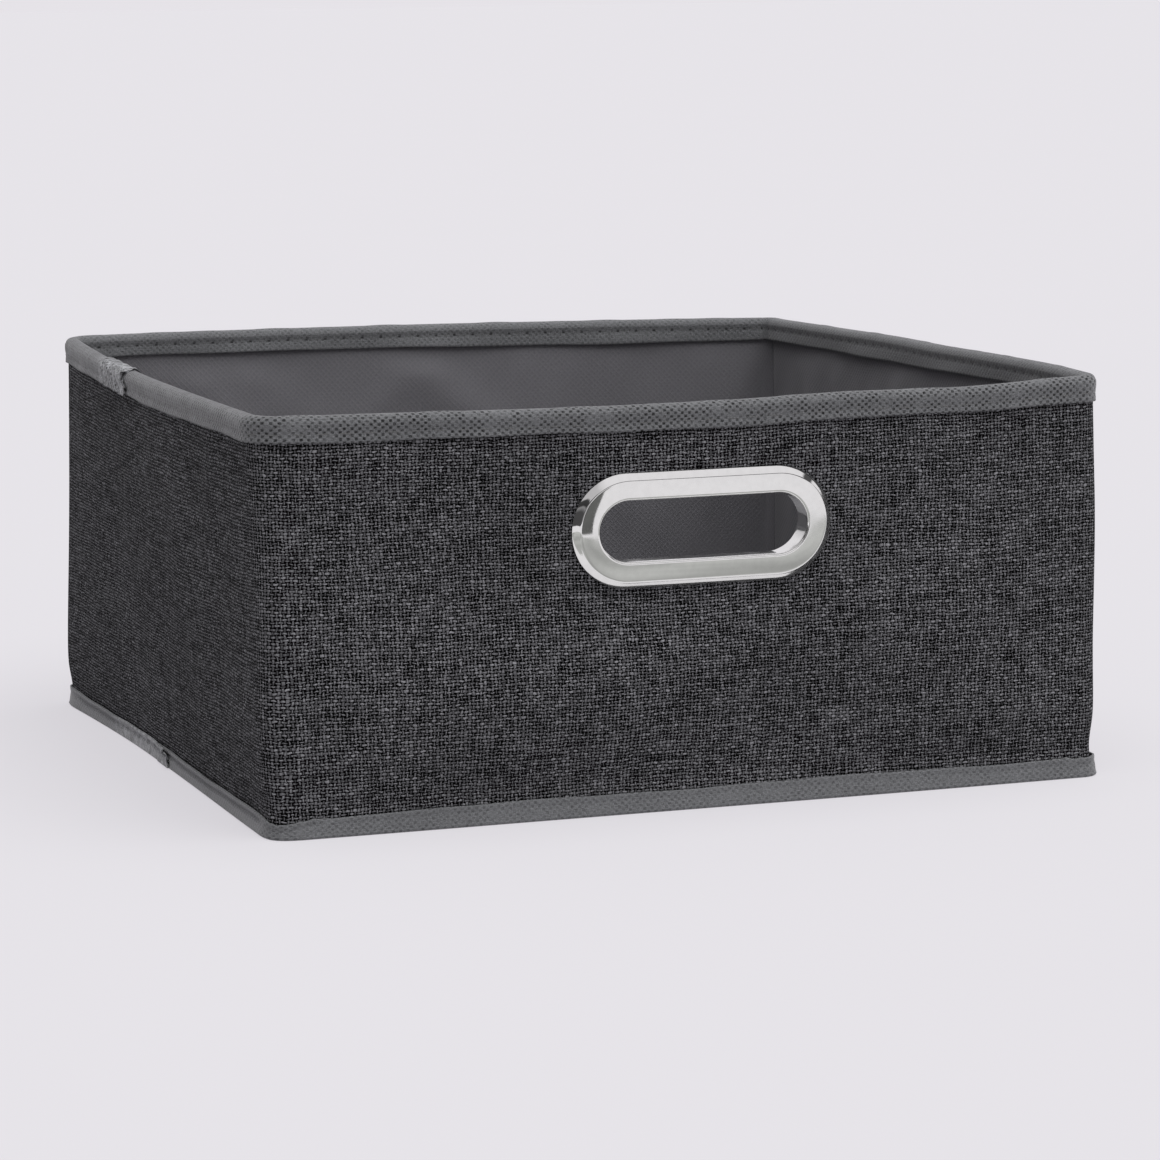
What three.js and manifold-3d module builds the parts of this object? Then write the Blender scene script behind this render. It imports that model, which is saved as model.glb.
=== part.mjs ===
// A half-height fabric storage bin for cube shelving, in millimetres.
//
// Frame: +Z up, the floor at Z = 0, the front wall with its handle on -Y, the origin under the
// middle of the bin. Four stiffened walls stand on a bound hem, the base fabric hangs from the
// same hem, and a covered board lies loose on it and lifts out.
//
// Every wall layer is placed by its inset, the distance inward from the face of the outer fabric,
// and then moved by bow(), which swells the walls between their corners. Layers that share bow()
// keep their gaps, however far the walls swell.

import * as THREE from 'three';
import { mergeVertices } from 'three/addons/utils/BufferGeometryUtils.js';
import Module from 'manifold-3d';

const wasm = await Module();
wasm.setup();

// Overall size, over the hem binding at the floor and to the top of the rim binding.
const WIDTH = 310;
const DEPTH = 312;
const HEIGHT = 147;

// How far each wall swells out halfway between its corners, at the floor and at the rim.
const SWELL = {
  front: [1.4, 6.0],
  right: [1.4, 5.5],
  back: [1.4, 6.5],
  left: [-0.5, 4.0],
};
// How far each corner leans out along the width, at the floor and at the rim.
const LEAN = {
  frontRight: [4.2, 3.2],
  rearRight: [0.0, -1.5],
  rearLeft: [4.5, 0.0],
  frontLeft: [-0.5, 1.5],
};
// How far the corners lean in along the depth at the rim.
const DEPTH_PULL = 2.0;
// Corner radii in plan.
const CORNER = { frontRight: 7, rearRight: 7, rearLeft: 7, frontLeft: 13 };

// Sheet thicknesses, and the gap left between touching pieces.
const GAP = 0.3;
const TAPE = 0.7;
const FABRIC = 0.8;
const BOARD = 1.8;
const LINING = 0.5;
const BASE_FABRIC = 0.6;

// Bound edges.
const RIM_TAPE_HEIGHT = 9.5;
const HEM_TAPE_HEIGHT = 7.5;
const BOARD_BOTTOM = 12.5;

// The handle eyelet on the front wall.
const HANDLE_X = 1.3;
const HANDLE_Z = 100.5;
const HANDLE_LENGTH = 92.6;
const HANDLE_HEIGHT = 40.5;
const HANDLE_OPENING = 21.5;
const HANDLE_PROUD = 3.1;
const BARREL_WALL = 0.8;
const SLOT_CLEARANCE = 2.4;
const BACK_RING = 1.2;
const BACK_RING_RADIUS = 18.5;

// The loose base insert: a board in a sleeve of lining fabric.
const INSERT_WIDTH = 293;
const INSERT_DEPTH = 295;
const INSERT_CORNER = 12;
const INSERT_BOARD = 2.0;

// Half sizes of the outer fabric, which lies under the hem tape.
const HALF_WIDTH = WIDTH / 2 - TAPE - GAP;
const HALF_DEPTH = DEPTH / 2 - TAPE - GAP;

// Insets of the wall layers, from the outer fabric inwards.
const BOARD_INSET = FABRIC + GAP;
const LINING_INSET = BOARD_INSET + BOARD + GAP;
const WALL = LINING_INSET + LINING;
// In the hem the boards are absent, so the lining closes on the fabric.
const HEM_LINING_INSET = FABRIC + GAP;
const BASE_LIP_INSET = HEM_LINING_INSET + LINING + GAP;
const HEM_STACK = BASE_LIP_INSET + BASE_FABRIC;

// Heights of the layer edges.
const LAYER_BOTTOM = TAPE + GAP;
const LAYER_TOP = HEIGHT - TAPE - GAP;
const BASE_UNDERSIDE = HEM_TAPE_HEIGHT + GAP;
const BASE_TOP = BASE_UNDERSIDE + BASE_FABRIC;
const INSERT_Z = BASE_TOP + GAP;
const INSERT_THICKNESS = 2 * (LINING + GAP) + INSERT_BOARD;

const CORNER_STEPS = 4;
const WALL_STEPS = 16;

// Moves a point of a straight-sided bin to its place on the swollen one.
function bow(x, y, z) {
  const u = x / HALF_WIDTH;
  const v = y / HALF_DEPTH;
  const rise = z / HEIGHT;
  const between = ([foot, rim]) => foot + (rim - foot) * rise;
  const swellX = between(u < 0 ? SWELL.left : SWELL.right);
  const swellY = between(v < 0 ? SWELL.front : SWELL.back);
  const frontLean = between(u < 0 ? LEAN.frontLeft : LEAN.frontRight);
  const rearLean = between(u < 0 ? LEAN.rearLeft : LEAN.rearRight);
  const leanX = v < 0 ? frontLean : rearLean;
  return [
    x + u * (swellX * (1 - v * v) + leanX * v * v),
    y + v * (swellY * (1 - u * u) - DEPTH_PULL * rise * u * u),
    z,
  ];
}

// The corners of the outer fabric's outline, counter-clockwise from the front right.
const corners = [
  { x: 1, y: -1, radius: CORNER.frontRight },
  { x: 1, y: 1, radius: CORNER.rearRight },
  { x: -1, y: 1, radius: CORNER.rearLeft },
  { x: -1, y: -1, radius: CORNER.frontLeft },
].map((corner) => ({
  ...corner,
  cx: corner.x * (HALF_WIDTH - corner.radius),
  cy: corner.y * (HALF_DEPTH - corner.radius),
}));

// A station is a place on the outline with its inward direction.
const place = (station, inset) => [station.x + station.nx * inset, station.y + station.ny * inset];

// Stations round one corner, both tangent points included.
function cornerStations(number) {
  const { cx, cy, radius } = corners[number];
  return Array.from({ length: CORNER_STEPS + 1 }, (_, i) => {
    const angle = (number - 1 + i / CORNER_STEPS) * (Math.PI / 2);
    const nx = -Math.cos(angle);
    const ny = -Math.sin(angle);
    return { x: cx - nx * radius, y: cy - ny * radius, nx, ny };
  });
}

// Stations along the wall that runs from one corner to the next, tangent points included.
// from and to are fractions of the straight length.
function wallStations(number, { from = 0, to = 1, steps = WALL_STEPS } = {}) {
  const start = cornerStations(number)[CORNER_STEPS];
  const end = cornerStations((number + 1) % 4)[0];
  return Array.from({ length: steps + 1 }, (_, i) => {
    const t = from + ((to - from) * i) / steps;
    return { ...start, x: start.x + (end.x - start.x) * t, y: start.y + (end.y - start.y) * t };
  });
}

// Joins runs of stations that share their end points.
const chain = (...runs) => runs.flatMap((run, i) => (i ? run.slice(1) : run));

const RIGHT = 0;
const BACK = 1;
const LEFT = 2;
const FRONT = 3;
const outline = chain(
  ...[RIGHT, BACK, LEFT, FRONT].map((n) => chain(cornerStations(n), wallStations(n)))
).slice(0, -1);

// A closed body through rings of points. With an outline its two ends are capped,
// and without one its last ring joins its first. Every four-sided patch is split along the
// diagonal that climbs, so that the twisted faces of neighbouring layers stay parallel.
function loft(rings, ends) {
  const count = rings[0].length;
  const spans = ends ? rings.length - 1 : rings.length;
  const index = [];
  for (let i = 0; i < spans; i++) {
    const near = i * count;
    const far = ((i + 1) % rings.length) * count;
    for (let j = 0; j < count; j++) {
      const k = (j + 1) % count;
      if (rings[i][j][2] < rings[i][k][2]) {
        index.push(near + j, far + j, far + k, near + j, far + k, near + k);
      } else {
        index.push(near + j, far + j, near + k, near + k, far + j, far + k);
      }
    }
  }
  if (ends) {
    const contour = ends.map(([x, y]) => new THREE.Vector2(x, y));
    const top = (rings.length - 1) * count;
    for (const [a, b, c] of THREE.ShapeUtils.triangulateShape(contour, [])) {
      const turn = THREE.ShapeUtils.area([contour[a], contour[b], contour[c]]);
      const [p, q] = turn * THREE.ShapeUtils.area(contour) > 0 ? [b, c] : [c, b];
      index.push(a, p, q, top + a, top + q, top + p);
    }
  }
  const geometry = new THREE.BufferGeometry();
  geometry.setAttribute('position', new THREE.Float32BufferAttribute(rings.flat(2), 3));
  geometry.setIndex(index);
  return facingOut(geometry);
}

// Turns a closed geometry's faces outward.
function facingOut(geometry) {
  const position = geometry.getAttribute('position');
  const index = Array.from(geometry.index.array);
  const [a, b, c] = [new THREE.Vector3(), new THREE.Vector3(), new THREE.Vector3()];
  let volume = 0;
  for (let i = 0; i < index.length; i += 3) {
    [a, b, c].forEach((point, j) => point.fromBufferAttribute(position, index[i + j]));
    volume += a.dot(b.cross(c));
  }
  if (volume < 0) index.reverse();
  geometry.setIndex(index);
  return geometry;
}

// A profile of [inset, height] points carried along stations of the outline.
const sweep = (profile, stations, open) => loft(
  stations.map((station) => profile.map(([inset, z]) => bow(...place(station, inset), z))),
  open ? profile : null
);
const sweepWall = (profile, stations) => sweep(profile, stations, true);
const sweepRound = (profile) => sweep(profile, outline, false);

// A flat plate that fills the outline at an inset.
function fill(inset, bottom, top) {
  const plan = outline.map((station) => place(station, inset));
  return loft([bottom, top].map((z) => plan.map(([x, y]) => bow(x, y, z))), plan);
}

// A rectangular layer of a wall.
const layer = (inset, thickness, bottom, top) => [
  [inset, bottom],
  [inset, top],
  [inset + thickness, top],
  [inset + thickness, bottom],
];

// Booleans of closed geometries.
function solid(geometry) {
  const bare = geometry.clone();
  bare.deleteAttribute('normal');
  bare.deleteAttribute('uv');
  const merged = mergeVertices(bare, 1e-5);
  return new wasm.Manifold(new wasm.Mesh({
    numProp: 3,
    vertProperties: new Float32Array(merged.getAttribute('position').array),
    triVerts: new Uint32Array(merged.index.array),
  }));
}

function cut(geometry, ...tools) {
  const result = tools.reduce((body, tool) => body.subtract(solid(tool)), solid(geometry));
  const mesh = result.getMesh();
  const out = new THREE.BufferGeometry();
  out.setAttribute('position', new THREE.Float32BufferAttribute(mesh.vertProperties, 3));
  out.setIndex(Array.from(mesh.triVerts));
  return out;
}

// The eyelet's stadium outline: stations in the plane of the front wall, pointing outward.
const END_STEPS = 12;
const STRAIGHT_STEPS = 3;
const HALF_STRAIGHT = (HANDLE_LENGTH - HANDLE_HEIGHT) / 2;
function stadiumStations() {
  const stations = [];
  for (const end of [1, -1]) {
    for (let i = 0; i <= END_STEPS; i++) {
      const angle = end * (-Math.PI / 2) + (Math.PI * i) / END_STEPS;
      stations.push({ x: end * HALF_STRAIGHT, dx: Math.cos(angle), dz: Math.sin(angle) });
    }
    for (let i = 1; i < STRAIGHT_STEPS; i++) {
      stations.push({ x: end * HALF_STRAIGHT * (1 - (2 * i) / STRAIGHT_STEPS), dx: 0, dz: end });
    }
  }
  return stations;
}
const stadium = stadiumStations();
const onFront = (station, radius, inset) => bow(
  HANDLE_X + station.x + station.dx * radius,
  -HALF_DEPTH + inset,
  HANDLE_Z + station.dz * radius
);
// A profile of [radius, inset] points carried round the stadium.
const eyelet = (profile) => loft(
  stadium.map((station) => profile.map(([radius, inset]) => onFront(station, radius, inset))),
  null
);
// A plug through the front wall.
const plug = (radius, from, to) => loft(
  [from, to].map((inset) => stadium.map((station) => onFront(station, radius, inset))),
  stadium.map((station) => [station.x + station.dx * radius, station.dz * radius])
);

const OPENING_RADIUS = HANDLE_OPENING / 2;
const BARREL_RADIUS = OPENING_RADIUS + BARREL_WALL;
// The slot through the wall layers is cut wider than the barrel, and the flange covers its edge.
const slot = plug(BARREL_RADIUS + SLOT_CLEARANCE, -10, WALL + 10);

// Wall layers. The U-shaped run goes along the left wall, the front and the right wall.
const leftFrontRight = chain(
  wallStations(LEFT),
  cornerStations(3),
  wallStations(FRONT),
  cornerStations(0),
  wallStations(RIGHT)
);
// The rear run takes in both rear corners, and stops a gap short of the side seams.
const rear = chain(cornerStations(1), wallStations(BACK), cornerStations(2));
for (const end of [0, rear.length - 1]) rear[end] = { ...rear[end], y: rear[end].y + GAP };

const fabricProfile = layer(0, FABRIC, LAYER_BOTTOM, LAYER_TOP);
const liningProfile = [
  [HEM_LINING_INSET, LAYER_BOTTOM],
  [HEM_LINING_INSET, BOARD_BOTTOM - 3.0],
  [LINING_INSET, BOARD_BOTTOM - GAP],
  [LINING_INSET, LAYER_TOP],
  [LINING_INSET + LINING, LAYER_TOP],
  [LINING_INSET + LINING, BOARD_BOTTOM - GAP - 0.4],
  [HEM_LINING_INSET + LINING, BOARD_BOTTOM - 3.4],
  [HEM_LINING_INSET + LINING, LAYER_BOTTOM],
];
const boardProfile = layer(BOARD_INSET, BOARD, BOARD_BOTTOM, LAYER_TOP);

// Folded tapes: a channel over the top edge and one under the bottom edge.
const channel = (stack, edge, reach) => [
  [-GAP - TAPE, edge],
  [-GAP - TAPE, reach],
  [-GAP, reach],
  [-GAP, edge + Math.sign(reach - edge) * TAPE],
  [stack + GAP, edge + Math.sign(reach - edge) * TAPE],
  [stack + GAP, reach],
  [stack + GAP + TAPE, reach],
  [stack + GAP + TAPE, edge],
];

// The handle: a domed flange in front, its barrel through the wall, and a washer behind.
const FLANGE_RADIUS = HANDLE_HEIGHT / 2;
const BARREL_END = WALL + GAP + BACK_RING + GAP;
const frontRingProfile = [
  [FLANGE_RADIUS, -GAP],
  [FLANGE_RADIUS, -GAP - 0.6],
  [FLANGE_RADIUS - 0.9, -GAP - 1.5],
  [FLANGE_RADIUS - 2.4, -GAP - 2.2],
  [FLANGE_RADIUS - 5.0, -GAP - 2.7],
  [OPENING_RADIUS + 2.0, -GAP - HANDLE_PROUD],
  [OPENING_RADIUS + 0.7, -GAP - HANDLE_PROUD + 0.3],
  [OPENING_RADIUS, -GAP - HANDLE_PROUD + 1.1],
  [OPENING_RADIUS, BARREL_END],
  [OPENING_RADIUS + 0.4, BARREL_END + 0.6],
  [BARREL_RADIUS + 1.4, BARREL_END + 0.6],
  [BARREL_RADIUS + 1.4, BARREL_END],
  [BARREL_RADIUS, BARREL_END],
  [BARREL_RADIUS, -GAP],
];
const backRingProfile = [
  [BARREL_RADIUS + GAP, WALL + GAP],
  [BACK_RING_RADIUS, WALL + GAP],
  [BACK_RING_RADIUS, WALL + GAP + BACK_RING * 0.5],
  [BACK_RING_RADIUS - 0.7, WALL + GAP + BACK_RING],
  [BARREL_RADIUS + GAP, WALL + GAP + BACK_RING],
];

// A slab with round corners, lying flat on a height.
function slab(width, depth, radius, bottom, thickness) {
  const [w, d] = [width / 2, depth / 2];
  const shape = new THREE.Shape();
  shape.absarc(w - radius, d - radius, radius, 0, Math.PI / 2);
  shape.absarc(radius - w, d - radius, radius, Math.PI / 2, Math.PI);
  shape.absarc(radius - w, radius - d, radius, Math.PI, 1.5 * Math.PI);
  shape.absarc(w - radius, radius - d, radius, 1.5 * Math.PI, 2 * Math.PI);
  const geometry = new THREE.ExtrudeGeometry(shape, {
    depth: thickness,
    bevelEnabled: false,
    curveSegments: 5,
  });
  return geometry.translate(0, 0, bottom);
}

const BOARD_EDGE = LINING + GAP;
const insertBoard = slab(
  INSERT_WIDTH - 2 * BOARD_EDGE,
  INSERT_DEPTH - 2 * BOARD_EDGE,
  INSERT_CORNER - BOARD_EDGE,
  INSERT_Z + BOARD_EDGE,
  INSERT_BOARD
);
// The sleeve's pocket runs out through its rear edge.
const pocket = slab(
  INSERT_WIDTH - 2 * LINING,
  INSERT_DEPTH,
  INSERT_CORNER - LINING,
  INSERT_Z + LINING,
  INSERT_THICKNESS - 2 * LINING
).translate(0, LINING, 0);

const bin = new THREE.Group();
function add(name, geometry, color, roughness, metalness = 0) {
  const mesh = new THREE.Mesh(
    geometry,
    new THREE.MeshStandardMaterial({ color, roughness, metalness })
  );
  mesh.name = name;
  bin.add(mesh);
}

const LINEN = 0x3c3c3e;
const LINING_GREY = 0x4a484c;
const TAPE_GREY = 0x6f6f72;
const CHIPBOARD = 0x8f8676;
const CHROME = 0xd4d5d8;

add('outer_fabric_front_sides', cut(sweepWall(fabricProfile, leftFrontRight), slot), LINEN, 0.95);
add('outer_fabric_back', sweepWall(fabricProfile, rear), LINEN, 0.95);
add('lining_front_sides', cut(sweepWall(liningProfile, leftFrontRight), slot), LINING_GREY, 0.9);
add('lining_back', sweepWall(liningProfile, rear), LINING_GREY, 0.9);

add('front_board', cut(sweepWall(boardProfile, wallStations(FRONT)), slot), CHIPBOARD, 0.85);
add('back_board', sweepWall(boardProfile, wallStations(BACK)), CHIPBOARD, 0.85);

// Each side wall holds two boards, parted by the upright crease that lets the bin fold flat.
const CREASE = 0.003;
const halves = [
  ['right_board_front', RIGHT, 0, 0.5 - CREASE],
  ['right_board_rear', RIGHT, 0.5 + CREASE, 1],
  ['left_board_rear', LEFT, 0, 0.5 - CREASE],
  ['left_board_front', LEFT, 0.5 + CREASE, 1],
];
for (const [name, wall, from, to] of halves) {
  const stations = wallStations(wall, { from, to, steps: WALL_STEPS / 2 });
  add(name, sweepWall(boardProfile, stations), CHIPBOARD, 0.85);
}

add(
  'base_fabric',
  cut(
    fill(BASE_LIP_INSET, LAYER_BOTTOM, BASE_TOP),
    fill(HEM_STACK, LAYER_BOTTOM - 5, BASE_UNDERSIDE)
  ),
  LINEN,
  0.95
);
add('rim_binding', sweepRound(channel(WALL, HEIGHT, HEIGHT - RIM_TAPE_HEIGHT)), TAPE_GREY, 0.8);
add('hem_binding', sweepRound(channel(HEM_STACK, 0, HEM_TAPE_HEIGHT)), TAPE_GREY, 0.8);
add('handle_ring_front', eyelet(frontRingProfile), CHROME, 0.12, 1);
add('handle_ring_back', eyelet(backRingProfile), CHROME, 0.2, 1);

add('insert_board', insertBoard, CHIPBOARD, 0.85);
add(
  'insert_cover',
  cut(slab(INSERT_WIDTH, INSERT_DEPTH, INSERT_CORNER, INSERT_Z, INSERT_THICKNESS), pocket),
  LINING_GREY,
  0.9
);

export default bin;
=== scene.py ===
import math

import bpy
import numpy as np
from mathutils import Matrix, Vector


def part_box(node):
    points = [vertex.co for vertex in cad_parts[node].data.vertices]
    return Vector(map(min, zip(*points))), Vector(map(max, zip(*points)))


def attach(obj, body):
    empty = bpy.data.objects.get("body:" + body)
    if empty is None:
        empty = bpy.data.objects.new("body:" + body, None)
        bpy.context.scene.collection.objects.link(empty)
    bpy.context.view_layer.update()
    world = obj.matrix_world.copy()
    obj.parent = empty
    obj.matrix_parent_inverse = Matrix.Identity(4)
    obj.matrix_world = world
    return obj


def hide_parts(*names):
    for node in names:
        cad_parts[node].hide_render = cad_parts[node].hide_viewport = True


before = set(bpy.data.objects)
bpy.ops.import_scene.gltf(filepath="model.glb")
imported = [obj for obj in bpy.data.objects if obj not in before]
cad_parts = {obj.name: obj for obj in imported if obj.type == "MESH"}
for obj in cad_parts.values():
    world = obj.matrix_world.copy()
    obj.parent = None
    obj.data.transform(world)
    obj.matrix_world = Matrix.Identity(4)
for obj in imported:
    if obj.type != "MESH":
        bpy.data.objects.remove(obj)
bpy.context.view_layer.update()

# A half-height fabric storage bin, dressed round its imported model.
#
# Work is in millimetres and goes to metres when a mesh is made. Every layer of the walls is placed
# by three numbers: s, the distance along the outer fabric's plan outline from the rear end of the
# left wall; z, the height; and inset, the distance in from the outer face. surface() turns them
# into points, so that layers which share it never touch, however the walls swell.

MM = 0.001
BIN = "bin"
INSERT = "base_insert"


def box_mm(node):
    """Lowest and highest corner of a CAD node, in millimetres."""
    return [np.array(corner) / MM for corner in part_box(node)]


# ---------------- sizes from the frame

rim_low, rim_high = box_mm("rim_binding")
hem_high = box_mm("hem_binding")[1]
ring_low, ring_high = box_mm("handle_ring_front")
cover_low, cover_high = box_mm("insert_cover")
base_low, base_high = box_mm("base_fabric")
board_low = box_mm("back_board")[0]

HEIGHT = rim_high[2]
TAPE_PROUD = 1.0        # the tapes' outer face stands this far out from the fabric
INSERT_ROOM = 7.5       # from the loose insert's edge to the outer fabric
RING_BOW = 0.35         # what the front wall's bow takes off the eyelet's half length
BARREL_ROOM = 3.2       # from the eyelet's opening to the edge of the slot in the wall
HALF_WIDTH = (cover_high[0] - cover_low[0]) / 2 + INSERT_ROOM
HALF_DEPTH = (cover_high[1] - cover_low[1]) / 2 + INSERT_ROOM
# How far each wall swells halfway between its corners: at the floor, and at the rim.
FOOT_SWELL = {"left": -0.5, "right": 1.4, "front": 1.4, "back": 1.4}
RIM_SWELL = {
    "left": -rim_low[0] - TAPE_PROUD - HALF_WIDTH,
    "right": rim_high[0] - TAPE_PROUD - HALF_WIDTH,
    "front": -rim_low[1] - TAPE_PROUD - HALF_DEPTH,
    "back": rim_high[1] - TAPE_PROUD - HALF_DEPTH,
}
# How far each corner leans out along the width, at the floor and at the rim.
LEAN = {"front_left": (-0.5, 1.5), "front_right": (4.2, 3.2), "rear_right": (0.0, -1.5),
        "rear_left": (4.5, 0.0)}
DEPTH_PULL = 2.0        # the corners lean in by this along the depth at the rim
CORNER = {"front_left": 13.0, "front_right": 7.0, "rear_right": 7.0, "rear_left": 7.0}

# Thicknesses of the wall's layers, and how far in from the outer face each one starts.
FABRIC = 0.8
BOARD_INSET = 1.1
BOARD = 1.8
LINING_INSET = 3.2
LINING = 0.5
WALL = LINING_INSET + LINING
HEM_LINING_INSET = 1.1  # the lining's inset below the boards, where it closes on the fabric
TAPE = 0.6

STITCH_PITCH = 8.0
STITCH = 6.2            # length of one stitch
THREAD_RADIUS = 0.27
INNER_STITCH = 4.6      # below the rim, on the inside
OUTER_STITCH = 6.4      # below the rim, on the outside

LAYER_BOTTOM = 1.2      # the cloth layers' lower edge, inside the hem tape
LAYER_TOP = HEIGHT - 1.7
CLOTH_STEP = 2.0        # mesh spacing in the cloth layers
OUTLINE_STEP = 0.25     # spacing of the outline's table
BOARD_BOTTOM = board_low[2]
RIM_TAPE = HEIGHT - rim_low[2]
HEM_TAPE = hem_high[2]

HANDLE_X = (ring_low[0] + ring_high[0]) / 2
HANDLE_Z = (ring_low[2] + ring_high[2]) / 2
FLANGE_RADIUS = (ring_high[2] - ring_low[2]) / 2
HALF_STRAIGHT = (ring_high[0] - ring_low[0]) / 2 + RING_BOW - FLANGE_RADIUS
OPENING_RADIUS = 10.75  # half the height of the eyelet's opening
SLOT_RADIUS = OPENING_RADIUS + BARREL_ROOM
NO_SLOT = -1.0          # in place of that radius, for a layer that is whole

# ---------------- the plan outline

RUNS = []          # (name, start, length) of every wall and corner, in order of s


def build_outline():
    """A closely spaced table of the outline: s, then x, y and the inward direction."""
    reach = {
        "left": ((-HALF_WIDTH, HALF_DEPTH), (-HALF_WIDTH, -HALF_DEPTH)),
        "front": ((-HALF_WIDTH, -HALF_DEPTH), (HALF_WIDTH, -HALF_DEPTH)),
        "right": ((HALF_WIDTH, -HALF_DEPTH), (HALF_WIDTH, HALF_DEPTH)),
        "back": ((HALF_WIDTH, HALF_DEPTH), (-HALF_WIDTH, HALF_DEPTH)),
    }
    order = ["rear_left", "left", "front_left", "front", "front_right", "right",
             "rear_right", "back", "rear_left"]
    rows, start = [], 0.0
    for before, wall, after in zip(order[0::2], order[1::2], order[2::2]):
        a, b = np.array(reach[wall][0]), np.array(reach[wall][1])
        along = (b - a) / np.linalg.norm(b - a)
        inward = np.array([-along[1], along[0]])
        a, b = a + along * CORNER[before], b - along * CORNER[after]
        length = np.linalg.norm(b - a)
        RUNS.append((wall, start, length))
        for t in np.arange(0, length, OUTLINE_STEP):
            rows.append([start + t, *(a + along * t), *inward])
        start += length
        radius = CORNER[after]
        centre = b + inward * radius
        RUNS.append((after, start, radius * math.pi / 2))
        for angle in np.arange(0, math.pi / 2, OUTLINE_STEP / radius):
            turned = inward * math.cos(angle) - along * math.sin(angle)
            rows.append([start + radius * angle, *(centre - turned * radius), *turned])
        start += radius * math.pi / 2
    return np.array(rows + [[start, *rows[0][1:]]])


OUTLINE = build_outline()
ROUND = OUTLINE[-1, 0]
START = {name: start for name, start, length in RUNS}
LENGTH = {name: length for name, start, length in RUNS}


def plan(s):
    """Outline point and inward direction at s."""
    s = np.mod(s, ROUND)
    x, y, nx, ny = (np.interp(s, OUTLINE[:, 0], OUTLINE[:, k]) for k in (1, 2, 3, 4))
    size = np.hypot(nx, ny)
    return x, y, nx / size, ny / size


def at(wall, share):
    """s at a share of the way along a wall or corner."""
    return START[wall] + LENGTH[wall] * share


# Where each tape starts, and how far its end laps over its start.
RIM_JOIN = at("left", 0.27)
RIM_OVERLAP = 44.0
HEM_JOIN = at("left", 0.49)
HEM_OVERLAP = 16.0
END_OF_TAPE = RIM_JOIN + ROUND + RIM_OVERLAP


def front_s(x):
    """s of a place on the front wall."""
    return START["front"] + (x + HALF_WIDTH - CORNER["front_left"])


def smooth(edge0, edge1, value):
    """A soft step from 0 at edge0 to 1 at edge1."""
    t = np.clip((value - edge0) / (edge1 - edge0), 0, 1)
    return t * t * (3 - 2 * t)


def lap(s, centre):
    """Signed distance along the outline from centre, the short way round."""
    return np.mod(s - centre + ROUND / 2, ROUND) - ROUND / 2


def bump(s, centre, half):
    """1 at centre, fading out over about half on each side."""
    return np.exp(-((lap(s, centre) / half) ** 2))


def from_handle(s, z):
    """Distance from the handle's middle line."""
    x = lap(s, front_s(HANDLE_X))
    return np.hypot(np.maximum(np.abs(x) - HALF_STRAIGHT, 0), z - HANDLE_Z)


# The rim's height above or below nominal, (wall, share along it, millimetres).
RIM_LEVELS = [
    ("left", 0.0, 2.2), ("left", 0.2, 0.4), ("left", 0.5, -1.3), ("left", 0.95, -2.0),
    ("front", 0.1, -2.3), ("front", 0.35, -3.1), ("front", 0.55, -2.9), ("front", 0.68, -1.8),
    ("front", 0.84, -2.7), ("front", 1.0, -0.8),
    ("right", 0.1, 0.1), ("right", 0.3, -0.3), ("right", 0.45, -0.9), ("right", 0.6, -0.6),
    ("right", 0.75, -1.1), ("right", 1.0, -1.4),
    ("back", 0.05, -0.9), ("back", 0.3, 0.2), ("back", 0.5, 1.1), ("back", 0.97, 2.6),
]


def rim_level_table():
    """RIM_LEVELS smoothed, at every millimetre round the outline."""
    reach, softness = 40, 14.0
    knots = [(at(wall, share), level) for wall, share, level in RIM_LEVELS]
    s = np.arange(0, ROUND, 1.0)
    raw = np.interp(s, *zip(*knots), period=ROUND)
    kernel = np.exp(-((np.arange(-reach, reach + 1) / softness) ** 2))
    padded = np.concatenate([raw[-reach:], raw, raw[:reach]])
    return s, np.convolve(padded, kernel / kernel.sum(), "valid")


LEVELS = rim_level_table()

# Soft swells of the walls: wall, share along, height, half length, half height, how far
# the swell climbs for each millimetre along, and how far it stands out.
SWELLS = [
    ("front", 0.20, 44, 60, 24, 0.10, 2.0),
    ("front", 0.42, 50, 52, 16, 0.18, 2.3),
    ("front", 0.84, 72, 42, 22, 0.45, 2.0),
    ("front", 0.10, 112, 40, 26, 0.0, -1.3),
    ("front", 0.62, 26, 80, 15, 0.20, -1.6),
    ("front", 0.95, 40, 22, 30, 0.0, -0.7),
    ("left", 0.72, 70, 34, 46, 0.0, 1.4),
    ("left", 0.35, 60, 46, 40, 0.25, -1.2),
    ("left", 0.55, 112, 60, 20, 0.0, 0.9),
    ("right", 0.35, 66, 60, 30, 0.2, 1.3),
    ("right", 0.75, 84, 50, 28, -0.2, -1.0),
    ("back", 0.30, 58, 70, 28, 0.1, 1.2),
    ("back", 0.72, 88, 56, 26, -0.2, -1.1),
]


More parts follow.
